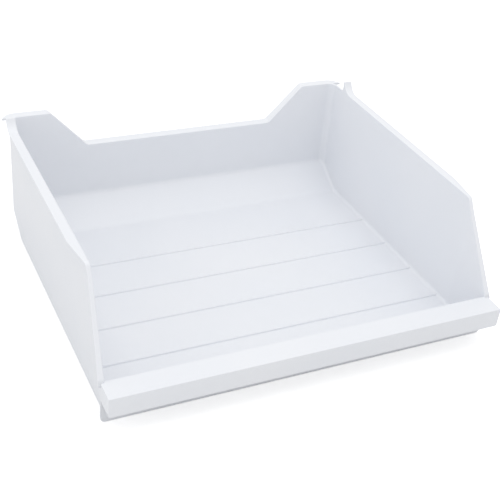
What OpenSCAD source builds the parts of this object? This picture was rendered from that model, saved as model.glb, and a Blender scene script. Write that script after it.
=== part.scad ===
// Freezer drawer tray
//
// Pull-out storage tray of a freezer compartment, moulded in one piece: a deep
// tray whose side rims run in guides, a low hollow lip to pull at the front,
// a dip in the back wall, and a stop lug near the rear end of each side rim.
//
// Millimetres. The origin is the middle of the bottom. X runs across, Y to the
// back and Z up, so the lip is at the front, towards -Y.

/* [Tray] */
// Width over the side rims
tray_w = 435; // [400:5:480]
// Depth from the front of the lip to the edge of the rear rim
tray_d = 390; // [340:5:460]
// Height of the rims over the bottom
rim_h = 139; // [110:1:180]
// Thickness of the side and back walls
wall_t = 3; // [2:0.25:4]
// Thickness of the floor
floor_t = 3.3; // [2.4:0.1:5]
// Outer radius along the bottom edges at the sides
bottom_r = 6; // [5:0.5:12]
// Outer radius of the upright rear corners
corner_r = 12; // [8:1:18]

/* [Rear] */
// Slope of the rear part of the floor, degrees
ramp_a = 32; // [24:1:40]
// Distance from the edge of the rear rim to where the floor starts to rise
ramp_d = 54.6; // [45:0.2:70]
// Radius where the underside starts to rise
ramp_r = 20; // [10:1:30]
// Radius under the foot of the back wall
heel_r = 8; // [5:0.5:12]
// Lean of the back wall, degrees
back_lean = 1.2; // [0.6:0.1:2.4]
// Width of the bottom of the dip in the back wall
dip_w = 237; // [160:1:260]
// Depth of the dip under the rims
dip_h = 45; // [30:1:60]
// Width over which each end of the dip rises
dip_rise_w = 43; // [30:1:50]
// Radius of the corners of the dip
dip_r = 5; // [4:0.5:9]

/* [Rims] */
// Thickness of the rims
rim_t = 2.6; // [2:0.1:3.5]
// Reach of the side rims outside the side walls
rim_over = 7.25; // [5:0.25:10]
// Reach of the rear rim behind the back wall
rear_over = 8.6; // [6:0.2:12]
// Radius of the rear corners of the rim
rim_corner_r = 17.5; // [12:0.5:22]
// Length of the rear rim's ends along the side walls
rear_end_d = 12; // [10:0.5:14]
// Reach of the side rims outside the side walls where they bend down
rim_pinch = 0.9; // [0.5:0.1:3]
// Length over which the side rims narrow to their bend
pinch_d = 43; // [30:1:60]

/* [Front edges of the side walls] */
// Distance from the front of the lip to where the sloping edges reach the rims
slant_d = 80.7; // [70:0.1:100]
// Radius where the sloping edges meet the rims
slant_r = 6; // [4:0.5:12]
// Distance from the lip's front to where the side walls start to spread
spread_d = 72; // [60:1:90]
// Spread of each side wall at the front
spread = 4.4; // [2:0.1:4.6]
// Height over which the spread grows, from the bottom edges up
spread_h = 42; // [25:1:60]

/* [Stop lugs] */
// Height of the lugs over the rims
lug_h = 12; // [8:0.5:15]
// Radius of the bend from the rim into the lug
lug_r = 17; // [15.5:0.5:22]
// Distance from the edge of the rear rim to where the bend starts
lug_d = 54; // [45:1:70]

/* [Front wall and lip] */
// Width of the lip and the front wall
lip_w = 430; // [395:1:475]
// Depth of the lip in front of the front wall
lip_d = 22.5; // [15:0.5:30]
// Height of the lip's front
lip_h = 21.7; // [15:0.1:28]
// Height of the lip's lower edge over the bottom
lip_z = 25.5; // [15:0.5:30]
// Thickness of the lip
lip_t = 2.5; // [2:0.1:3.5]
// Thickness of the front wall
front_t = 2.5; // [2:0.1:4]
// Radius of the lower corners of the front wall
front_r = 5; // [3:0.5:8]
// Radius of the lower corners of the lip
lip_r = 2; // [1:0.25:3]

/* [Floor ribs] */
// Number of low ribs across the floor
rib_n = 4; // [2:1:5]
// Distance from one rib to the next
rib_pitch = 56; // [40:1:60]
// Distance from the lip's front to the middle of the set of ribs
rib_mid_d = 177; // [170:1:185]
// Width of a rib
rib_w = 4; // [3:0.25:6]
// Height of a rib
rib_h = 0.8; // [0.5:0.1:1.4]

/* [Hidden] */
$fn = 96;

// how far a shape runs into, or past, the one it joins or cuts
lap = 1;
// how far open shapes run past the outside of the tray
far = 30;
// flat strips that make up a bend of the floor
strips = 4;

half_w = tray_w / 2;
front_y = -tray_d / 2;
rear_y = tray_d / 2;

// faces of the walls
wall_x = half_w - rim_over;
hold_x = wall_x - wall_t;
wall_y = front_y + lip_d;
hold_y = wall_y + front_t;
back_y = rear_y - rear_over;

lip_top = lip_z + lip_h;
hold_r = bottom_r - wall_t + lap;

// sloping rear part of the floor, outside and inside
ramp_y = rear_y - ramp_d;
hold_ramp_y = ramp_y + (floor_t - wall_t / cos(ramp_a)) / tan(ramp_a);

// sloping front edge of the side walls
slant_y = front_y + slant_d;
slant_a = atan2(rim_h - lip_top, slant_y - wall_y);
pinch_y = slant_y - slant_r * tan(slant_a / 2);
spread_y = front_y + spread_d;
spread_z = floor_t + hold_r;

// dip in the back wall
dip_x = dip_w / 2;
dip_end_x = dip_x + dip_rise_w;
dip_z = rim_h - dip_h;
dip_a = atan2(dip_h, dip_rise_w);

// bend of the stop lugs
lug_y = rear_y - lug_d;
lug_out_r = lug_r + rim_t;
lug_end = sqrt(pow(lug_out_r, 2) - pow(lug_r - lug_h, 2));

function unit(v) = v / norm(v);

// spread of a side wall at a place along the tray
function spread_at(y) = spread * (spread_y - y) / (spread_y - wall_y);

// points on an arc of radius r that rounds the corner p between a and b
function bend(a, p, b, r) =
    let (
        u = unit(a - p),
        v = unit(b - p),
        half = acos(u * v) / 2,
        turn = 180 - 2 * half,
        middle = p + unit(u + v) * r / sin(half),
        from = p + u * r / tan(half) - middle,
        to = p + v * r / tan(half) - middle
    )
    [for (i = [0:strips]) middle + (sin(turn * (strips - i) / strips) * from + sin(turn * i / strips) * to) / sin(turn)];

// what a rounding of radius r leaves outside itself in the corner p between a and b
module corner_piece(a, p, b, r) {
    u = unit(a - p);
    v = unit(b - p);
    half = acos(u * v) / 2;
    difference() {
        polygon([p, p + u * r / tan(half), p + v * r / tan(half)]);
        translate(p + unit(u + v) * r / sin(half))
            circle(r = r);
    }
}

// outline with rounded corners: a radius over zero rounds an outer corner,
// one under zero fills an inner corner
module rounded(points, radii) {
    n = len(points);
    difference() {
        union() {
            polygon(points);
            for (i = [0:n - 1])
                if (radii[i] < 0)
                    corner_piece(points[(i + n - 1) % n], points[i], points[(i + 1) % n], -radii[i]);
        }
        for (i = [0:n - 1])
            if (radii[i] > 0)
                corner_piece(points[(i + n - 1) % n], points[i], points[(i + 1) % n], radii[i]);
    }
}

// an outline seen from the side, drawn as (Y, Z), made as wide as the given half width
module across(x) {
    translate([-x, 0, 0])
        rotate([90, 0, 90])
            linear_extrude(2 * x)
                children();
}

// an outline seen from the front, drawn as (X, Z), made to reach from y0 back to y1
module along(y0, y1) {
    translate([0, y1, 0])
        rotate([90, 0, 0])
            linear_extrude(y1 - y0)
                children();
}

module both_sides() {
    children();
    mirror([1, 0, 0])
        children();
}

// upright shape that leans back with the back wall; its place is right at rim height
module leaning(y) {
    translate([0, y, rim_h])
        rotate([-back_lean, 0, 0])
            translate([0, -y, -rim_h - far])
                linear_extrude(rim_h + 2 * far)
                    children();
}

// plan with square front corners and rounded rear corners
module plan(x, y, r) {
    rounded([[-x, front_y - far], [x, front_y - far], [x, y], [-x, y]], [0, 0, r, r]);
}

// front view with rounded lower corners
module low_rounded(x, z0, z1, r) {
    rounded([[-x, z0], [x, z0], [x, z1], [-x, z1]], [r, r, 0, 0]);
}

// where the leaning face through y at rim height is at height z
function leaning_y(y, z) = y - (rim_h - z) * tan(back_lean);

// height at which a slope that starts at (y, z) meets a leaning face
function meet_z(y, z, back) =
    (z + (leaning_y(back, 0) - y) * tan(ramp_a)) / (1 - tan(back_lean) * tan(ramp_a));

// side view of the outside
module side_outline() {
    heel_z = meet_z(ramp_y, 0, back_y);
    start = [ramp_y, 0];
    heel = [leaning_y(back_y, heel_z), heel_z];
    difference() {
        polygon(concat(
            [[wall_y, 0]],
            bend([wall_y, 0], start, heel, ramp_r),
            bend(start, heel, [back_y, rim_h], heel_r),
            [[back_y, rim_h], [slant_y, rim_h], [wall_y, lip_top]]
        ));
        corner_piece([back_y, rim_h], [slant_y, rim_h], [wall_y, lip_top], slant_r);
    }
}

// side view of the storage space, open above the rims and over the lip
module hold_outline() {
    back = back_y - wall_t / cos(back_lean);
    heel_z = meet_z(hold_ramp_y, floor_t, back);
    start = [hold_ramp_y, floor_t];
    heel = [leaning_y(back, heel_z), heel_z];
    top = [leaning_y(back, rim_h + far), rim_h + far];
    difference() {
        polygon(concat(
            [[hold_y, floor_t]],
            bend([hold_y, floor_t], start, heel, ramp_r - wall_t),
            bend(start, heel, top, heel_r - wall_t),
            [top, [wall_y - lap, rim_h + far], [wall_y - lap, lip_top], [hold_y, lip_top]]
        ));
        corner_piece([hold_y, rim_h], [hold_y, floor_t], start, hold_r);
    }
}

// spread of the side walls towards the front, beyond the face at x and up to the face at y
module wall_spread(x, y) {
    both_sides()
        intersection() {
            linear_extrude(rim_h + far)
                polygon([[x - lap, spread_y], [x, spread_y], [x + spread_at(y), y], [x - lap, y]]);
            along(y, spread_y)
                polygon([
                    [x - lap, spread_z],
                    [x, spread_z],
                    [x + spread, spread_z + spread_h],
                    [x + spread, rim_h + far],
                    [x - lap, rim_h + far]
                ]);
        }
}

module tray_outside() {
    intersection() {
        across(half_w)
            side_outline();
        union() {
            intersection() {
                leaning(back_y)
                    plan(wall_x, back_y, corner_r);
                along(front_y, rear_y)
                    low_rounded(wall_x, 0, rim_h + lap, bottom_r);
            }
            wall_spread(wall_x, wall_y);
        }
    }
}

module storage_space() {
    hold_back = back_y - wall_t / cos(back_lean);
    intersection() {
        across(half_w)
            hold_outline();
        union() {
            intersection() {
                leaning(hold_back)
                    plan(hold_x, hold_back, corner_r - wall_t);
                along(front_y, rear_y)
                    low_rounded(hold_x, floor_t, rim_h + far, hold_r);
            }
            wall_spread(hold_x, wall_y - lap);
        }
    }
}

// region over the edge of the back wall
module dip_cut() {
    along(back_y - far, rear_y)
        rounded(
            [
                [-half_w, rim_h + far],
                [-half_w, rim_h],
                [-dip_end_x, rim_h],
                [-dip_x, dip_z],
                [dip_x, dip_z],
                [dip_end_x, rim_h],
                [half_w, rim_h],
                [half_w, rim_h + far]
            ],
            [0, 0, -dip_r, dip_r, dip_r, -dip_r, 0, 0]
        );
}

// plan of the rims: rounded at the rear, narrowed where the side rims bend down
module rim_plan() {
    pinch_x = wall_x + rim_pinch;
    difference() {
        plan(half_w, rear_y, rim_corner_r);
        for (side = [-1, 1])
            polygon([
                [side * half_w, pinch_y + pinch_d],
                [side * pinch_x, pinch_y],
                [side * half_w, wall_y],
                [side * (half_w + lap), wall_y],
                [side * (half_w + lap), pinch_y + pinch_d]
            ]);
    }
}

// rims along the side walls, down their sloping front edges and up into the lugs
module side_rims() {
    shift = rim_t * tan(slant_a / 2);
    intersection() {
        linear_extrude(rim_h + far)
            rim_plan();
        across(half_w)
            union() {
                rounded(
                    [
                        [wall_y, lip_top],
                        [wall_y + shift, lip_top - rim_t],
                        [slant_y + shift, rim_h - rim_t],
                        [lug_y, rim_h - rim_t],
                        [lug_y, rim_h],
                        [slant_y, rim_h]
                    ],
                    [0, 0, rim_t - slant_r, 0, 0, slant_r]
                );
                intersection() {
                    translate([lug_y, rim_h + lug_r])
                        difference() {
                            circle(r = lug_out_r);
                            circle(r = lug_r);
                        }
                    translate([lug_y, rim_h - rim_t])
                        square([lug_out_r, lug_h + rim_t]);
                }
            }
    }
}

// wall under the bend of each lug
module lug_webs() {
    across(wall_x)
        difference() {
            translate([lug_y, rim_h - rim_t])
                square([lug_end, rim_t + lug_h]);
            translate([lug_y, rim_h + lug_r])
                circle(r = lug_out_r - lap);
        }
}

// rim along the back wall, through the dip, with its two ends beside the corners
module rear_rim() {
    shift = rim_t * tan(dip_a / 2);
    intersection() {
        linear_extrude(rim_h + far)
            rim_plan();
        along(rear_y - rear_end_d, rear_y)
            rounded(
                [
                    [-half_w, rim_h],
                    [-dip_end_x, rim_h],
                    [-dip_x, dip_z],
                    [dip_x, dip_z],
                    [dip_end_x, rim_h],
                    [half_w, rim_h],
                    [half_w, rim_h - rim_t],
                    [dip_end_x + shift, rim_h - rim_t],
                    [dip_x + shift, dip_z - rim_t],
                    [-dip_x - shift, dip_z - rim_t],
                    [-dip_end_x - shift, rim_h - rim_t],
                    [-half_w, rim_h - rim_t]
                ],
                [
                    0, dip_r, -dip_r, -dip_r, dip_r, 0,
                    0, rim_t - dip_r, dip_r + rim_t, dip_r + rim_t, rim_t - dip_r, 0
                ]
            );
    }
}

module front_wall() {
    along(wall_y, hold_y)
        low_rounded(lip_w / 2, 0, lip_top, front_r);
}

// hollow lip, open underneath
module lip() {
    difference() {
        along(front_y, hold_y)
            low_rounded(lip_w / 2, lip_z, lip_top, lip_r);
        along(front_y + lip_t, wall_y)
            translate([-lip_w / 2 + lip_t, lip_z - lap])
                square([lip_w - 2 * lip_t, lip_h - lip_t + lap]);
    }
}

// low rounded ribs across the floor
module floor_ribs() {
    rib_r = (pow(rib_w / 2, 2) + pow(rib_h, 2)) / (2 * rib_h);
    across(hold_x + lap)
        for (i = [0:rib_n - 1])
            intersection() {
                translate([front_y + rib_mid_d + (i - (rib_n - 1) / 2) * rib_pitch, floor_t + rib_h - rib_r])
                    circle(r = rib_r);
                translate([front_y, floor_t - lap])
                    square([tray_d, lap + rib_h]);
            }
}

module drawer_tray() {
    color("white")
        union() {
            difference() {
                union() {
                    difference() {
                        tray_outside();
                        dip_cut();
                    }
                    side_rims();
                    lug_webs();
                    rear_rim();
                    front_wall();
                    lip();
                }
                storage_space();
            }
            floor_ribs();
        }
}

drawer_tray();
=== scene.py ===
"""Freezer drawer tray: a white moulded storage tray with a low pull lip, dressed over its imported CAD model."""

import logging
import math
from collections.abc import Callable
from dataclasses import dataclass
from enum import Enum

import bmesh
import bpy
import numpy as np
from mathutils import Matrix, Vector


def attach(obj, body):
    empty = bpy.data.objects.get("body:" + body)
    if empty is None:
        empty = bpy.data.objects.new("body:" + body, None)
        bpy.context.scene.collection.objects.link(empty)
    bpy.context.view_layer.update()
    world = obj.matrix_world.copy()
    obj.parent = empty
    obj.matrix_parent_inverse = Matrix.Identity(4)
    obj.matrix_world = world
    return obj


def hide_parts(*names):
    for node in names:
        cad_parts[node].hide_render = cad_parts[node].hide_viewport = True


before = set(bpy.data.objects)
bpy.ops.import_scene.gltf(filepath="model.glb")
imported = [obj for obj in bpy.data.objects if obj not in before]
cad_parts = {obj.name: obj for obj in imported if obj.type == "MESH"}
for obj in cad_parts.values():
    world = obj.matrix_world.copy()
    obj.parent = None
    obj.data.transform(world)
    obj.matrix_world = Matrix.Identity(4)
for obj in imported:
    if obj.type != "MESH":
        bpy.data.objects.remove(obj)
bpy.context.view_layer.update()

LOG = logging.getLogger("freezer_drawer")
MM = 0.001
BODY = "root"
NODE = "drawer_tray"

Ring = list[tuple[float, float, float]]


class Side(Enum):
    """A side of the tray, by the sign of its X."""

    LEFT = -1.0
    RIGHT = 1.0


class Edge(Enum):
    """How finely a rounded edge is cut."""

    THIN = 2
    SOFT = 3


# Small helpers


def rounded_line(points: list[tuple[float, float]], reach: float) -> Callable[[float], tuple[float, float]]:
    """Makes a function for a bent line whose bends are rounded.

    Args:
        points: The line's corners as (place, height), in order of place.
        reach: How far the rounding goes to each side of a corner.

    Returns:
        A function from a place to the height and the slope there.
    """
    slopes = [(b[1] - a[1]) / (b[0] - a[0]) for a, b in zip(points, points[1:])]

    def at(place: float) -> tuple[float, float]:
        """Height and slope at a place."""
        for i, (here, height) in enumerate(points[1:-1]):
            step = place - here
            if abs(step) < reach:
                before, after = slopes[i], slopes[i + 1]
                bend = (after - before) / (2 * reach)
                return (
                    height + before * step + (after - before) * (step + reach) ** 2 / (4 * reach),
                    before + bend * (step + reach),
                )
        for (a, b), slope in zip(zip(points, points[1:]), slopes):
            if place <= b[0]:
                return a[1] + slope * (place - a[0]), slope
        last = points[-1]
        return last[1] + slopes[-1] * (place - last[0]), slopes[-1]

    return at


def cove(depth: float, radius: float) -> float:
    """Height of a quarter-round fillet at a distance from its wall."""
    if depth >= radius:
        return 0.0
    return radius - math.sqrt(max(radius**2 - (radius - depth) ** 2, 0.0))


def quarter(steps: int) -> list[tuple[float, float]]:
    """Sine and cosine at even steps over a quarter turn, its two ends included."""
    return [(math.sin(math.pi / 2 * i / steps), math.cos(math.pi / 2 * i / steps)) for i in range(steps + 1)]


def spread_out(*stretches: tuple[float, float, int]) -> list[float]:
    """Places along a line, given as stretches of (start, end, steps), without doubles."""
    places: list[float] = []
    for start, end, steps in stretches:
        for value in np.linspace(start, end, steps + 1):
            if not places or abs(places[-1] - value) > 1e-6:
                places.append(float(value))
    return places


def new_object(name: str, mesh: bpy.types.Mesh) -> bpy.types.Object:
    """Puts a mesh into the scene under a name."""
    piece = bpy.data.objects.new(name, mesh)
    bpy.context.scene.collection.objects.link(piece)
    return piece


def mesh_from(name: str, points: list[tuple[float, float, float]], faces: list[tuple[int, ...]]) -> bpy.types.Mesh:
    """Makes a clean closed mesh, in metres, from points in millimetres.

    Args:
        name: Name of the mesh.
        points: The corners, in millimetres.
        faces: Corner numbers of each face.

    Returns:
        The mesh, with doubles merged and its faces turned outwards.
    """
    mesh = bpy.data.meshes.new(name)
    mesh.from_pydata([Vector(p) * MM for p in points], [], faces)
    work = bmesh.new()
    work.from_mesh(mesh)
    bmesh.ops.remove_doubles(work, verts=work.verts, dist=2e-6)
    bmesh.ops.dissolve_degenerate(work, edges=work.edges, dist=1e-7)
    bmesh.ops.recalc_face_normals(work, faces=work.faces)
    work.to_mesh(mesh)
    work.free()
    return mesh


def settle(piece: bpy.types.Object) -> None:
    """Turns a piece with modifiers into the plain mesh that they give."""
    graph = bpy.context.evaluated_depsgraph_get()
    mesh = bpy.data.meshes.new_from_object(piece.evaluated_get(graph))
    old = piece.data
    piece.modifiers.clear()
    piece.data = mesh
    mesh.name = piece.name
    bpy.data.meshes.remove(old)


def soften(piece: bpy.types.Object, width: float, edge: Edge) -> None:
    """Rounds the sharp edges of a piece by a width in millimetres."""
    bevel = piece.modifiers.new("soft_edges", "BEVEL")
    bevel.width = width * MM
    bevel.segments = edge.value
    bevel.limit_method = "ANGLE"
    bevel.angle_limit = math.radians(32)
    bevel.use_clamp_overlap = True
    settle(piece)


def shade(piece: bpy.types.Object, angle: float = 38.0) -> None:
    """Shades a piece smooth, apart from edges sharper than the angle, with its flat faces kept flat."""
    mesh = piece.data
    mesh.shade_smooth()
    mesh.set_sharp_from_angle(angle=math.radians(angle))
    weigh = piece.modifiers.new("flat_faces", "WEIGHTED_NORMAL")
    weigh.keep_sharp = True
    weigh.weight = 100
    settle(piece)


def cut(piece: bpy.types.Object, tool: bpy.types.Object, how: str) -> None:
    """Joins a tool to a piece or cuts it away, and drops the tool."""
    change = piece.modifiers.new(how.lower(), "BOOLEAN")
    change.operation = how
    change.solver = "EXACT"
    change.object = tool
    settle(piece)
    bpy.data.objects.remove(tool)


def slab(name: str, outline: list[tuple[float, float]], near: float, deep: float, along_x: bool) -> bpy.types.Object:
    """Makes a plate from an outline.

    Args:
        name: Name of the piece.
        outline: Corners as (X, Z), or as (Y, Z) for a plate that reaches along X.
        near: Where the plate starts, in millimetres.
        deep: Where it ends.
        along_x: Whether it reaches along X rather than along Y.

    Returns:
        The plate as an object.
    """
    count = len(outline)
    points = [(near, a, b) if along_x else (a, near, b) for a, b in outline]
    points += [(deep, a, b) if along_x else (a, deep, b) for a, b in outline]
    faces: list[tuple[int, ...]] = [tuple(range(count)), tuple(range(2 * count - 1, count - 1, -1))]
    faces += [(i, (i + 1) % count, count + (i + 1) % count, count + i) for i in range(count)]
    return new_object(name, mesh_from(name, points, faces))


def low_rounded(half: float, low: float, top: float, radius: float) -> list[tuple[float, float]]:
    """Front view of a plate whose two lower corners are rounded."""
    turn = quarter(8)
    left = [(-half + radius - radius * c, low + radius - radius * s) for s, c in turn]
    right = [(half - radius + radius * s, low + radius - radius * c) for s, c in turn]
    return left + right + [(half, top), (-half, top)]


# Sizes that the pieces share


@dataclass(frozen=True)
class Layout:
    """Sizes of the moulding that more than one piece reads, in millimetres."""

    rim_half: float = 217.5
    front_y: float = -195.0
    rear_y: float = 195.0
    rim_h: float = 139.0
    rim_t: float = 2.6
    rim_end_y: float = 141.0
    hold_x: float = 207.25
    wall_t: float = 3.0
    floor_t: float = 3.3
    wall_y: float = -172.5
    hold_y: float = -170.0
    lip_half: float = 215.0
    lip_low: float = 25.5
    lip_top: float = 47.2
    edge_r: float = 0.8


# The tray itself


@dataclass
class TrayShell:
    """Floor, side walls, back wall and rims, lofted as one skin around the tray's outline."""

    layout: Layout
    ramp_y: float = 140.4
    ramp_angle: float = 32.0
    ramp_r: float = 20.0
    back_y: float = 183.4
    lean: float = 1.2
    corner_r: float = 9.0
    rim_corner_r: float = 17.5
    rear_end_y: float = 183.0
    dip_x: float = 118.5
    dip_end_x: float = 161.5
    dip_h: float = 45.0
    slant_y: float = -114.3
    pinch_y: float = -117.6
    pinch_d: float = 43.0
    pinch: float = 0.9
    spread_y: float = -123.0
    spread: float = 4.4
    spread_h: float = 42.0
    side_cove: float = 4.0
    back_cove: float = 3.2
    heel_r: float = 6.0
    apron: float = 7.5
    levels: int = 7

    def __post_init__(self) -> None:
        """Prepares the lines along which the rims rise and fall."""
        lay = self.layout
        self.side_edge = rounded_line(
            [(lay.wall_y, lay.lip_top), (self.slant_y, lay.rim_h), (lay.rear_y, lay.rim_h)], 2.8
        )
        self.back_edge = rounded_line(
            [
                (-lay.rim_half, lay.rim_h - self.dip_h),
                (self.dip_x, lay.rim_h - self.dip_h),
                (self.dip_end_x, lay.rim_h),
                (lay.rim_half, lay.rim_h),
            ],
            2.6,
        )

    def ramp(self, y: float, base: float, start: float, radius: float) -> float:
        """Height of the floor's inside or underside at a place, with its bend at the foot of the slope."""
        tangent = math.tan(math.radians(self.ramp_angle))
        reach = radius * math.tan(math.radians(self.ramp_angle / 2))
        step = y - start
        if step <= -reach:
            return base
        if step >= reach:
            return base + step * tangent
        return base + tangent * (step + reach) ** 2 / (4 * reach)

    def floor_in(self, y: float) -> float:
        """Height of the inside of the floor."""
        lay = self.layout
        angle = math.radians(self.ramp_angle)
        start = self.ramp_y + (lay.floor_t - lay.wall_t / math.cos(angle)) / math.tan(angle)
        height = self.ramp(y, lay.floor_t, start, self.ramp_r - lay.wall_t)
        return height + cove(max(y - lay.hold_y, 0.0), self.side_cove)

    def floor_out(self, y: float) -> float:
        """Height of the underside."""
        return self.ramp(y, 0.0, self.ramp_y, self.ramp_r)

    def widening(self, y: float, z: float) -> float:
        """How far a side wall spreads near the front."""
        forward = (self.spread_y - y) / (self.spread_y - self.layout.wall_y)
        upward = (z - self.layout.floor_t - self.side_cove) / self.spread_h
        return self.spread * max(min(forward, upward, 1.02), 0.0)

    def rim_reach(self, y: float) -> float:
        """X of the side rim's outer edge."""
        lay = self.layout
        wall_x = lay.hold_x + lay.wall_t
        deep = lay.rim_half - wall_x - self.pinch
        step = y - self.pinch_y
        length = self.pinch_d if step > 0 else self.pinch_y - lay.wall_y
        share = min(math.sqrt(step**2 + 9.0) / length, 1.0)
        return lay.rim_half - deep * (1.0 - share)

    def stations(self) -> list[dict]:
        """Lists the places of the right half at which the skin is cut.

        Returns:
            One entry for each place, from the middle of the back to the front: the wall's point and
            direction in plan, the rim's point, the edge's height and slope, and whether it has a rim.
        """
        lay = self.layout
        middle = (lay.hold_x - self.corner_r, self.back_y - self.corner_r)
        rim_middle = (lay.rim_half - self.rim_corner_r, lay.rear_y - self.rim_corner_r)
        places: list[dict] = []
        across = spread_out(
            (0.0, 110.0, 10), (110.0, 115.0, 2), (115.0, 122.0, 10), (122.0, 158.0, 6), (158.0, 165.0, 10), (165.0, middle[0], 5)
        )
        for x in across:
            height, slope = self.back_edge(x)
            places.append(
                {
                    "wall": (x, self.back_y),
                    "out": (0.0, 1.0),
                    "rim": (x * rim_middle[0] / middle[0], lay.rear_y),
                    "height": height,
                    "slope": slope,
                    "rimmed": True,
                    "lean": 1.0,
                    "cove": self.back_cove,
                }
            )
        wall_r = self.corner_r + lay.wall_t
        last = math.degrees(math.acos((self.rear_end_y - middle[1]) / wall_r))
        rim_last = math.degrees(math.acos((self.rear_end_y - rim_middle[1]) / self.rim_corner_r))
        turns = [(a, True) for a in np.linspace(0, last, 8)[1:]] + [(a, False) for a in np.linspace(last, 90, 8)]
        for angle, rimmed in turns:
            turn = math.radians(angle)
            rim_turn = math.radians(angle * rim_last / last)
            out = (math.sin(turn), math.cos(turn))
            places.append(
                {
                    "wall": (middle[0] + self.corner_r * out[0], middle[1] + self.corner_r * out[1]),
                    "out": out,
                    "rim": (
                        rim_middle[0] + self.rim_corner_r * math.sin(rim_turn),
                        rim_middle[1] + self.rim_corner_r * math.cos(rim_turn),
                    ),
                    "height": lay.rim_h,
                    "slope": 0.0,
                    "rimmed": rimmed,
                    "lean": 1.0,
                    "cove": self.back_cove + (self.side_cove - self.back_cove) * angle / 90,
                }
            )
        down = spread_out(
            (middle[1], 150.0, 5),
            (150.0, lay.rim_end_y, 6),
        )[1:]
        down = [(y, False) for y in down]
        down += [
            (y, True)
            for y in spread_out(
                (lay.rim_end_y, 130.0, 7),
                (130.0, self.pinch_y + self.pinch_d, 14),
                (self.pinch_y + self.pinch_d, -110.0, 8),
                (-110.0, -119.0, 14),
                (-119.0, self.spread_y, 3),
                (self.spread_y, lay.hold_y + self.side_cove, 10),
                (lay.hold_y + self.side_cove, lay.hold_y, 4),
                (lay.hold_y, lay.wall_y + 0.2, 1),
            )
        ]
        for y, rimmed in down:
            height, slope = self.side_edge(y)
            places.append(
                {
                    "wall": (lay.hold_x, y),
                    "out": (1.0, 0.0),
                    "rim": (self.rim_reach(y), y),
                    "height": height,
                    "slope": slope,
                    "rimmed": rimmed,
                    "lean": max(min((y - lay.rim_end_y) / (middle[1] - lay.rim_end_y), 1.0), 0.0),
                    "cove": self.side_cove,
                }
            )
        return places

    def wall_point(self, place: dict, z: float, off: float) -> tuple[float, float, float]:
        """Point of the wall at a height, moved outwards from its inside by a distance."""
        x, y = place["wall"]
        out = place["out"]
        shift = (self.layout.rim_h - z) * math.tan(math.radians(self.lean)) * place["lean"]
        wide = self.widening(y, z) if out[1] == 0.0 else 0.0
        return x + out[0] * off + wide, y + out[1] * off - shift, z

    def section(self, place: dict) -> Ring:
        """Cuts the wall at one place.

        Args:
            place: One of the stations.

        Returns:
            The cut's outline from the floor's inside over the rim to the underside.
        """
        lay = self.layout
        stretch = math.sqrt(1.0 + place["slope"] ** 2)
        top = place["height"]
        round_r = place["cove"]
        points: Ring = []

        def step_in(depth: float, foot: float, off: float, base: Callable[[float], float], radius: float) -> None:
            """Adds the point of the floor or its fillet at a depth inside a face of the wall."""
            x, y, _ = self.wall_point(place, foot, off)
            x, y = x - place["out"][0] * depth, y - place["out"][1] * depth
            points.append((x, y, base(y) + cove(depth, radius)))

        foot_y = self.wall_point(place, self.floor_in(place["wall"][1]), 0.0)[1]
        foot = self.floor_in(foot_y) + round_r
        depths = [self.apron, 5.4] + [round_r * (1.0 - s) for s, _ in quarter(5)]
        for depth in depths:
            step_in(depth, foot, 0.0, self.floor_in, round_r)
        kink = lay.floor_t + self.side_cove + self.spread_h * min(
            max((self.spread_y - place["wall"][1]) / (self.spread_y - lay.wall_y), 0.0), 1.0
        )
        edge_z = lay.edge_r * stretch
        high = top - edge_z
        kink = min(max(kink, foot + 0.4), high - 2.0)
        inner = [kink] + [kink + (high - kink) * (i + 1) / self.levels for i in range(self.levels)]
        points += [self.wall_point(place, z, 0.0) for z in inner]

        wall_off = lay.wall_t
        base_x, base_y, _ = self.wall_point(place, top, 0.0)
        rim_x, rim_y = place["rim"]
        if place["rimmed"]:
            rim_off = math.hypot(rim_x - base_x, rim_y - base_y)
            aim = ((rim_x - base_x) / rim_off, (rim_y - base_y) / rim_off)
        else:
            rim_off, aim = wall_off, place["out"]

        def over(off: float, drop: float) -> None:
            """Adds a point of the rim, at a distance outwards and a drop from its top."""
            straight = place["out"]
            if off <= wall_off:
                points.append((base_x + straight[0] * off, base_y + straight[1] * off, top - drop * stretch))
            else:
                start = (base_x + straight[0] * wall_off, base_y + straight[1] * wall_off)
                run = (off - wall_off) / max(rim_off - wall_off, 1e-9)
                points.append(
                    (start[0] + (rim_x - start[0]) * run, start[1] + (rim_y - start[1]) * run, top - drop * stretch)
                )

        edge = lay.edge_r
        for s, c in quarter(3)[1:]:
            over(edge * (1.0 - c), edge * (1.0 - s))
        over(wall_off - edge, 0.0)
        for s, c in quarter(3):
            over(rim_off - edge * (1.0 - s), edge * (1.0 - c))
        if place["rimmed"]:
            for s, c in quarter(3):
                over(rim_off - edge * (1.0 - c), lay.rim_t - edge * (1.0 - s))
            fill = min(max(rim_off - edge - wall_off, 0.02), 1.0)
            over(wall_off + fill, lay.rim_t)
            over(wall_off + fill * 0.3, lay.rim_t + fill * 0.3)
            low = lay.rim_t + fill
        else:
            for drop in (1.2, 1.5, 1.8, 2.1, 2.6, 2.9):
                over(wall_off, drop)
            low = lay.rim_t + 1.0
        high = top - low * stretch

        out_y = self.wall_point(place, self.floor_out(place["wall"][1]), wall_off)[1]
        heel = self.floor_out(out_y) + self.heel_r
        kink = min(max(kink, heel + 0.4), high - 2.0)
        outer = [high - (high - kink) * i / self.levels for i in range(self.levels)] + [kink]
        points += [self.wall_point(place, z, wall_off) for z in outer]
        for s, _ in reversed(quarter(6)):
            step_in(self.heel_r * (1.0 - s), heel, wall_off, self.floor_out, self.heel_r)
        step_in(self.apron + wall_off, heel, wall_off, self.floor_out, self.heel_r)
        return points

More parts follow.
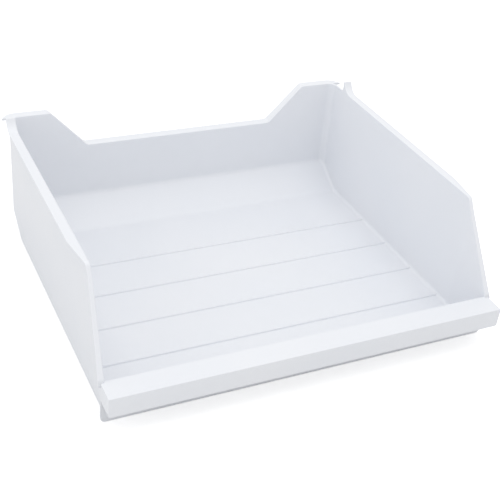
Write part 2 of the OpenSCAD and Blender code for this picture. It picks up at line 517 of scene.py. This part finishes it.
    def build(self) -> bpy.types.Object:
        """Lofts the right half, mirrors it and closes it."""
        places = self.stations()
        rings = [self.section(place) for place in places]
        width = len(rings[0])
        points: list[tuple[float, float, float]] = [p for ring in rings for p in ring]
        faces: list[tuple[int, ...]] = []
        for i in range(len(rings) - 1):
            for j in range(width - 1):
                a = i * width + j
                faces.append((a, a + 1, a + width + 1, a + width))

        backs = [i for i, place in enumerate(places) if place["out"][0] == 0.0]
        first_side = next(i for i, place in enumerate(places) if place["out"][1] < 1e-9)
        sides = list(range(first_side, len(places)))
        corner = list(range(backs[-1], first_side + 1))
        for index, height in ((0, self.floor_in), (width - 1, self.floor_out)):
            column_x = [rings[i][index][0] for i in backs]
            row_y = [rings[i][index][1] for i in sides]
            start = len(points)
            for y in row_y:
                points += [(x, y, height(y)) for x in column_x]
            wide = len(column_x)
            for r in range(len(row_y)):
                for c in range(wide - 1):
                    a = start + r * wide + c
                    if r + 1 < len(row_y):
                        faces.append((a, a + 1, a + wide + 1, a + wide))
                if r + 1 < len(row_y):
                    a = start + r * wide + wide - 1
                    faces.append((a, sides[r] * width + index, sides[r + 1] * width + index, a + wide))
            for c in range(wide - 1):
                faces.append((start + c, start + c + 1, backs[c + 1] * width + index, backs[c] * width + index))
            for i in corner[:-1]:
                faces.append((start + wide - 1, i * width + index, (i + 1) * width + index))
            if index == 0:
                top_row = [start + (len(row_y) - 1) * wide + c for c in range(wide)]
            else:
                low_row = [start + (len(row_y) - 1) * wide + c for c in range(wide)]
        end = (len(places) - 1) * width
        faces.append(tuple(range(end, end + width)))
        for c in range(len(top_row) - 1):
            faces.append((top_row[c], top_row[c + 1], low_row[c + 1], low_row[c]))
        faces.append((top_row[-1], end, end + width - 1, low_row[-1]))

        count = len(points)
        points += [(-x, y, z) for x, y, z in points]
        faces += [tuple(count + i for i in reversed(face)) for face in faces]
        return new_object("tray_shell", mesh_from("tray_shell", points, faces))


@dataclass
class FrontPanel:
    """Front wall and the hollow lip that is turned down in front of it."""

    layout: Layout
    lip_t: float = 2.5
    wall_r: float = 5.0
    lip_r: float = 2.0
    edge: float = 0.8

    def build(self) -> bpy.types.Object:
        """Makes the front wall and the lip as one closed piece."""
        lay = self.layout
        lip = slab("front_panel", low_rounded(lay.lip_half, lay.lip_low, lay.lip_top, self.lip_r), lay.front_y, lay.hold_y, False)
        wall = slab("front_wall", low_rounded(lay.lip_half, 0.0, lay.lip_top, self.wall_r), lay.wall_y, lay.hold_y, False)
        cut(lip, wall, "UNION")
        inside = lay.lip_half - self.lip_t
        low, high = lay.lip_low - 5.0, lay.lip_top - self.lip_t
        box = [(-inside, low), (inside, low), (inside, high), (-inside, high)]
        hollow = slab("lip_hollow", box, lay.front_y + self.lip_t, lay.wall_y, False)
        cut(lip, hollow, "DIFFERENCE")
        work = bmesh.new()
        work.from_mesh(lip.data)
        bmesh.ops.remove_doubles(work, verts=work.verts, dist=2e-6)
        bmesh.ops.dissolve_limit(work, angle_limit=math.radians(0.5), verts=work.verts, edges=work.edges)
        work.to_mesh(lip.data)
        work.free()
        soften(lip, self.edge, Edge.SOFT)
        return lip


@dataclass
class StopLug:
    """Stop near the rear end of a side rim: the rim's own strip bent up, with a web under the bend."""

    layout: Layout
    side: Side
    bend_r: float = 17.0
    height: float = 12.0
    steps: int = 14

    def build(self) -> bpy.types.Object:
        """Sweeps the rim's rounded section around the bend."""
        lay = self.layout
        low_x, high_x = lay.hold_x + 0.02, lay.rim_half
        edge = lay.edge_r
        middle_y, middle_z = lay.rim_end_y, lay.rim_h + self.bend_r
        outline: list[tuple[float, float]] = []
        for x, way, drop, turned in (
            (low_x, 1.0, 0.0, False),
            (high_x, -1.0, 0.0, True),
            (high_x, -1.0, lay.rim_t, False),
            (low_x, 1.0, lay.rim_t, True),
        ):
            up = 1.0 if drop == 0.0 else -1.0
            arc = [(x + way * edge * (1.0 - s), drop + up * edge * (1.0 - c)) for s, c in quarter(3)]
            outline += arc if turned else list(reversed(arc))
        points: Ring = []
        end = math.acos((self.bend_r - self.height) / self.bend_r)
        turns = [end * i / self.steps for i in range(self.steps + 1)]
        for turn in turns:
            for x, drop in outline:
                radius = self.bend_r + drop
                angle = turn
                if turn == end:
                    angle = math.acos((self.bend_r - self.height) / radius)
                points.append((x, middle_y + radius * math.sin(angle), middle_z - radius * math.cos(angle)))
        width = len(outline)
        faces: list[tuple[int, ...]] = [tuple(range(width))]
        for i in range(self.steps):
            for j in range(width):
                a, b = i * width + j, i * width + (j + 1) % width
                faces.append((a, b, b + width, a + width))
        faces.append(tuple(range(self.steps * width + width - 1, self.steps * width - 1, -1)))
        points = [(x * self.side.value, y, z) for x, y, z in points]
        name = f"stop_lug_{self.side.name.lower()}"
        lug = new_object(name, mesh_from(name, points, faces))
        web_r = self.bend_r + lay.rim_t - 0.6
        reach = math.acos((self.bend_r - self.height + 0.8) / web_r)
        arc = [reach * i / 10 for i in range(11)]
        outline = [(middle_y + web_r * math.sin(a), middle_z - web_r * math.cos(a)) for a in arc]
        outline += [(outline[-1][0], lay.rim_h - 2.0), (middle_y, lay.rim_h - 2.0)]
        near, deep = sorted((self.side.value * (lay.hold_x + 0.06), self.side.value * (lay.hold_x + lay.wall_t - 0.06)))
        web = slab("lug_web", outline, near, deep, True)
        cut(lug, web, "UNION")
        return lug


@dataclass
class FloorRibs:
    """Low rounded ribs across the floor, laid out by a geometry-node tree."""

    layout: Layout
    count: int = 4
    pitch: float = 56.0
    middle_y: float = -18.0
    width: float = 4.0
    height: float = 0.8
    sunk: float = 0.6

    def tree(self, material: bpy.types.Material) -> bpy.types.GeometryNodeTree:
        """Builds the tree that makes one rib and repeats it.

        Args:
            material: Finish of the ribs.

        Returns:
            The node tree, with the ribs' sizes as its inputs.
        """
        tree = bpy.data.node_groups.new("floor_ribs", "GeometryNodeTree")
        tree.interface.new_socket("Geometry", in_out="INPUT", socket_type="NodeSocketGeometry")
        for name in ("Pitch", "Length", "Half width", "Half height", "First", "Level"):
            tree.interface.new_socket(name, in_out="INPUT", socket_type="NodeSocketFloat")
        tree.interface.new_socket("Count", in_out="INPUT", socket_type="NodeSocketInt")
        tree.interface.new_socket("Geometry", in_out="OUTPUT", socket_type="NodeSocketGeometry")
        make, link = tree.nodes.new, tree.links.new
        sizes = make("NodeGroupInput")
        result = make("NodeGroupOutput")
        profile = make("GeometryNodeCurvePrimitiveCircle")
        profile.inputs["Resolution"].default_value = 40
        profile.inputs["Radius"].default_value = 1.0
        scale = make("ShaderNodeCombineXYZ")
        link(sizes.outputs["Half height"], scale.inputs["X"])
        link(sizes.outputs["Half width"], scale.inputs["Y"])
        flatten = make("GeometryNodeTransform")
        link(profile.outputs["Curve"], flatten.inputs["Geometry"])
        scale.inputs["Z"].default_value = 1.0
        link(scale.outputs["Vector"], flatten.inputs["Scale"])
        half = make("ShaderNodeMath")
        half.operation = "MULTIPLY"
        half.inputs[1].default_value = 0.5
        link(sizes.outputs["Length"], half.inputs[0])
        minus = make("ShaderNodeMath")
        minus.operation = "MULTIPLY"
        minus.inputs[1].default_value = -1.0
        link(half.outputs[0], minus.inputs[0])
        start, end = make("ShaderNodeCombineXYZ"), make("ShaderNodeCombineXYZ")
        link(minus.outputs[0], start.inputs["X"])
        link(half.outputs[0], end.inputs["X"])
        line = make("GeometryNodeCurvePrimitiveLine")
        link(start.outputs["Vector"], line.inputs["Start"])
        link(end.outputs["Vector"], line.inputs["End"])
        bar = make("GeometryNodeCurveToMesh")
        bar.inputs["Fill Caps"].default_value = True
        link(line.outputs["Curve"], bar.inputs["Curve"])
        link(flatten.outputs["Geometry"], bar.inputs["Profile Curve"])
        first, step = make("ShaderNodeCombineXYZ"), make("ShaderNodeCombineXYZ")
        link(sizes.outputs["First"], first.inputs["Y"])
        link(sizes.outputs["Level"], first.inputs["Z"])
        link(sizes.outputs["Pitch"], step.inputs["Y"])
        row = make("GeometryNodeMeshLine")
        link(sizes.outputs["Count"], row.inputs["Count"])
        link(first.outputs["Vector"], row.inputs["Start Location"])
        link(step.outputs["Vector"], row.inputs["Offset"])
        repeat = make("GeometryNodeInstanceOnPoints")
        link(row.outputs["Mesh"], repeat.inputs["Points"])
        link(bar.outputs["Mesh"], repeat.inputs["Instance"])
        real = make("GeometryNodeRealizeInstances")
        link(repeat.outputs["Instances"], real.inputs["Geometry"])
        finish = make("GeometryNodeSetMaterial")
        finish.inputs["Material"].default_value = material
        link(real.outputs["Geometry"], finish.inputs["Geometry"])
        link(finish.outputs["Geometry"], result.inputs["Geometry"])
        return tree

    def build(self, material: bpy.types.Material) -> bpy.types.Object:
        """Runs the tree and keeps its ribs as a plain mesh."""
        lay = self.layout
        half_height = self.height + self.sunk
        share = math.sqrt(1.0 - (self.sunk / half_height) ** 2)
        values = {
            "Pitch": self.pitch * MM,
            "Length": 2 * (lay.hold_x + 1.0) * MM,
            "Half width": self.width / 2 / share * MM,
            "Half height": half_height * MM,
            "First": (self.middle_y - (self.count - 1) / 2 * self.pitch) * MM,
            "Level": (lay.floor_t - self.sunk) * MM,
            "Count": self.count,
        }
        ribs = new_object("floor_ribs", bpy.data.meshes.new("floor_ribs"))
        layout = ribs.modifiers.new("layout", "NODES")
        layout.node_group = self.tree(material)
        for item in layout.node_group.interface.items_tree:
            if item.in_out == "INPUT" and item.name in values:
                layout[item.identifier] = values[item.name]
        settle(ribs)
        return ribs


# Finishes


def moulded_surface() -> bpy.types.ShaderNodeTree:
    """Builds the group for a moulded skin: faint clouding of the colour, and a fine uneven gloss.

    Returns:
        The shader node group.
    """
    group = bpy.data.node_groups.new("moulded_surface", "ShaderNodeTree")
    for name, kind, value in (
        ("Vector", "NodeSocketVector", None),
        ("Color", "NodeSocketColor", (0.8, 0.8, 0.8, 1.0)),
        ("Flow color", "NodeSocketColor", (0.78, 0.78, 0.78, 1.0)),
        ("Flow scale", "NodeSocketFloat", 9.0),
        ("Roughness", "NodeSocketFloat", 0.35),
        ("Unevenness", "NodeSocketFloat", 0.05),
        ("Grain scale", "NodeSocketFloat", 900.0),
        ("Grain", "NodeSocketFloat", 0.05),
    ):
        socket = group.interface.new_socket(name, in_out="INPUT", socket_type=kind)
        if value is not None:
            socket.default_value = value
    for name, kind in (("Color", "NodeSocketColor"), ("Roughness", "NodeSocketFloat"), ("Height", "NodeSocketFloat")):
        group.interface.new_socket(name, in_out="OUTPUT", socket_type=kind)
    make, link = group.nodes.new, group.links.new
    given, result = make("NodeGroupInput"), make("NodeGroupOutput")
    flow = make("ShaderNodeTexNoise")
    flow.inputs["Detail"].default_value = 3.0
    flow.inputs["Roughness"].default_value = 0.45
    link(given.outputs["Vector"], flow.inputs["Vector"])
    link(given.outputs["Flow scale"], flow.inputs["Scale"])
    tone = make("ShaderNodeMapRange")
    tone.inputs["From Min"].default_value = 0.3
    tone.inputs["From Max"].default_value = 0.7
    link(flow.outputs["Fac"], tone.inputs["Value"])
    mix = make("ShaderNodeMix")
    mix.data_type = "RGBA"
    link(tone.outputs["Result"], mix.inputs["Factor"])
    link(given.outputs["Color"], mix.inputs[6])
    link(given.outputs["Flow color"], mix.inputs[7])
    link(mix.outputs[2], result.inputs["Color"])
    grain = make("ShaderNodeTexNoise")
    grain.inputs["Detail"].default_value = 2.0
    link(given.outputs["Vector"], grain.inputs["Vector"])
    link(given.outputs["Grain scale"], grain.inputs["Scale"])
    rough = make("ShaderNodeMath")
    rough.operation = "MULTIPLY_ADD"
    link(flow.outputs["Fac"], rough.inputs[0])
    link(given.outputs["Unevenness"], rough.inputs[1])
    link(given.outputs["Roughness"], rough.inputs[2])
    link(rough.outputs[0], result.inputs["Roughness"])
    bump = make("ShaderNodeMath")
    bump.operation = "MULTIPLY"
    link(grain.outputs["Fac"], bump.inputs[0])
    link(given.outputs["Grain"], bump.inputs[1])
    link(bump.outputs[0], result.inputs["Height"])
    return group


@dataclass(frozen=True)
class MouldedPlastic:
    """White polystyrene as it leaves a polished mould."""

    name: str
    color: tuple[float, float, float]
    flow: tuple[float, float, float]
    roughness: float = 0.34
    unevenness: float = 0.06
    grain: float = 0.12

    def make(self, surface: bpy.types.ShaderNodeTree) -> bpy.types.Material:
        """Makes the material around the shared surface group."""
        material = bpy.data.materials.new(self.name)
        material.use_nodes = True
        nodes, link = material.node_tree.nodes, material.node_tree.links.new
        skin = nodes["Principled BSDF"]
        skin.inputs["IOR"].default_value = 1.5
        skin.inputs["Specular IOR Level"].default_value = 0.5
        place = nodes.new("ShaderNodeTexCoord")
        group = nodes.new("ShaderNodeGroup")
        group.node_tree = surface
        group.inputs["Color"].default_value = (*self.color, 1.0)
        group.inputs["Flow color"].default_value = (*self.flow, 1.0)
        group.inputs["Roughness"].default_value = self.roughness
        group.inputs["Unevenness"].default_value = self.unevenness
        group.inputs["Grain"].default_value = self.grain
        link(place.outputs["Object"], group.inputs["Vector"])
        link(group.outputs["Color"], skin.inputs["Base Color"])
        link(group.outputs["Roughness"], skin.inputs["Roughness"])
        bump = nodes.new("ShaderNodeBump")
        bump.inputs["Strength"].default_value = 0.12
        bump.inputs["Distance"].default_value = 0.0002
        link(group.outputs["Height"], bump.inputs["Height"])
        link(bump.outputs["Normal"], skin.inputs["Normal"])
        return material


# Studio


@dataclass
class Studio:
    """Camera, pale floor and soft light."""

    camera_at: tuple[float, float, float] = (-0.4234, -0.8059, 0.6386)
    look: tuple[float, float, float] = (0.3988, 0.7346, -0.5489)
    up: tuple[float, float, float] = (0.1614, 0.5330, 0.8306)
    lens: float = 70.29
    sky: float = 0.9
    lamps: tuple[tuple[str, tuple[float, float, float], float, float], ...] = (
        ("top", (0.0, 0.1, 2.2), 2.0, 9.0),
        ("left", (-2.0, -0.6, 0.9), 1.6, 4.0),
    )

    def camera(self) -> None:
        """Sets the camera at the photograph's angle."""
        data = bpy.data.cameras.new("camera")
        data.lens = self.lens
        data.sensor_width = 36.0
        data.clip_start = 0.01
        camera = bpy.data.objects.new("camera", data)
        bpy.context.scene.collection.objects.link(camera)
        look, up = Vector(self.look).normalized(), Vector(self.up).normalized()
        right = look.cross(up).normalized()
        up = right.cross(look)
        turn = Matrix((right, up, -look)).transposed().to_4x4()
        camera.matrix_world = Matrix.Translation(self.camera_at) @ turn
        bpy.context.scene.camera = camera

    def floor(self) -> None:
        """Lays the pale floor that the tray stands on."""
        mesh = bpy.data.meshes.new("studio_floor")
        half = 6.0
        mesh.from_pydata([(-half, -half, -2e-4), (half, -half, -2e-4), (half, half, -2e-4), (-half, half, -2e-4)], [], [(0, 1, 2, 3)])
        floor = new_object("studio_floor", mesh)
        material = bpy.data.materials.new("studio_floor")
        material.use_nodes = True
        nodes, link = material.node_tree.nodes, material.node_tree.links.new
        skin = nodes["Principled BSDF"]
        skin.inputs["Base Color"].default_value = (0.8, 0.8, 0.8, 1.0)
        skin.inputs["Roughness"].default_value = 0.9
        skin.inputs["Specular IOR Level"].default_value = 0.0
        glow = nodes.new("ShaderNodeEmission")
        ray = nodes.new("ShaderNodeLightPath")
        seen = nodes.new("ShaderNodeMath")
        seen.operation = "MULTIPLY"
        seen.inputs[1].default_value = 0.5
        link(ray.outputs["Is Camera Ray"], seen.inputs[0])
        link(seen.outputs[0], glow.inputs["Strength"])
        both = nodes.new("ShaderNodeAddShader")
        link(skin.outputs[0], both.inputs[0])
        link(glow.outputs[0], both.inputs[1])
        link(both.outputs[0], nodes["Material Output"].inputs["Surface"])
        floor.data.materials.append(material)

    def light(self) -> None:
        """Lights the tray from a pale sky and large soft lamps."""
        world = bpy.data.worlds.new("studio")
        world.use_nodes = True
        bpy.context.scene.world = world
        nodes, link = world.node_tree.nodes, world.node_tree.links.new
        sky = nodes["Background"]
        sky.inputs["Color"].default_value = (1.0, 1.0, 1.0, 1.0)
        ray = nodes.new("ShaderNodeLightPath")
        level = nodes.new("ShaderNodeMapRange")
        level.inputs["To Min"].default_value = self.sky
        level.inputs["To Max"].default_value = 1.0
        link(ray.outputs["Is Camera Ray"], level.inputs["Value"])
        link(level.outputs["Result"], sky.inputs["Strength"])
        for name, place, size, power in self.lamps:
            data = bpy.data.lights.new(f"lamp_{name}", "AREA")
            data.shape = "DISK"
            data.size = size
            data.energy = power
            lamp = bpy.data.objects.new(f"lamp_{name}", data)
            bpy.context.scene.collection.objects.link(lamp)
            aim = Vector((0.0, 0.0, 0.05)) - Vector(place)
            lamp.matrix_world = Matrix.Translation(place) @ aim.to_track_quat("-Z", "Y").to_matrix().to_4x4()

    def build(self) -> None:
        """Sets up the whole studio."""
        self.camera()
        self.floor()
        self.light()
        bpy.context.scene.view_settings.view_transform = "Standard"


def dress(piece: bpy.types.Object, material: bpy.types.Material) -> None:
    """Gives a piece its finish and its body, and hides the CAD node that it stands for."""
    piece.data.materials.clear()
    piece.data.materials.append(material)
    shade(piece)
    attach(piece, BODY)
    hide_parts(NODE)
    low = [min(v.co[i] for v in piece.data.vertices) for i in range(3)]
    high = [max(v.co[i] for v in piece.data.vertices) for i in range(3)]
    LOG.info("%s: %d faces, %s to %s", piece.name, len(piece.data.polygons), np.round(low, 4), np.round(high, 4))


def main() -> None:
    """Builds the tray, then the studio around it."""
    logging.basicConfig(level=logging.INFO, format="%(name)s: %(message)s")
    Studio().build()
    layout = Layout()
    surface = moulded_surface()
    plastic = MouldedPlastic("white_plastic", (0.82, 0.835, 0.87), (0.8, 0.82, 0.86)).make(surface)
    dress(TrayShell(layout).build(), plastic)
    dress(FrontPanel(layout).build(), plastic)
    for side in Side:
        dress(StopLug(layout, side).build(), plastic)
    dress(FloorRibs(layout).build(plastic), plastic)


if __name__ == "__main__":
    main()
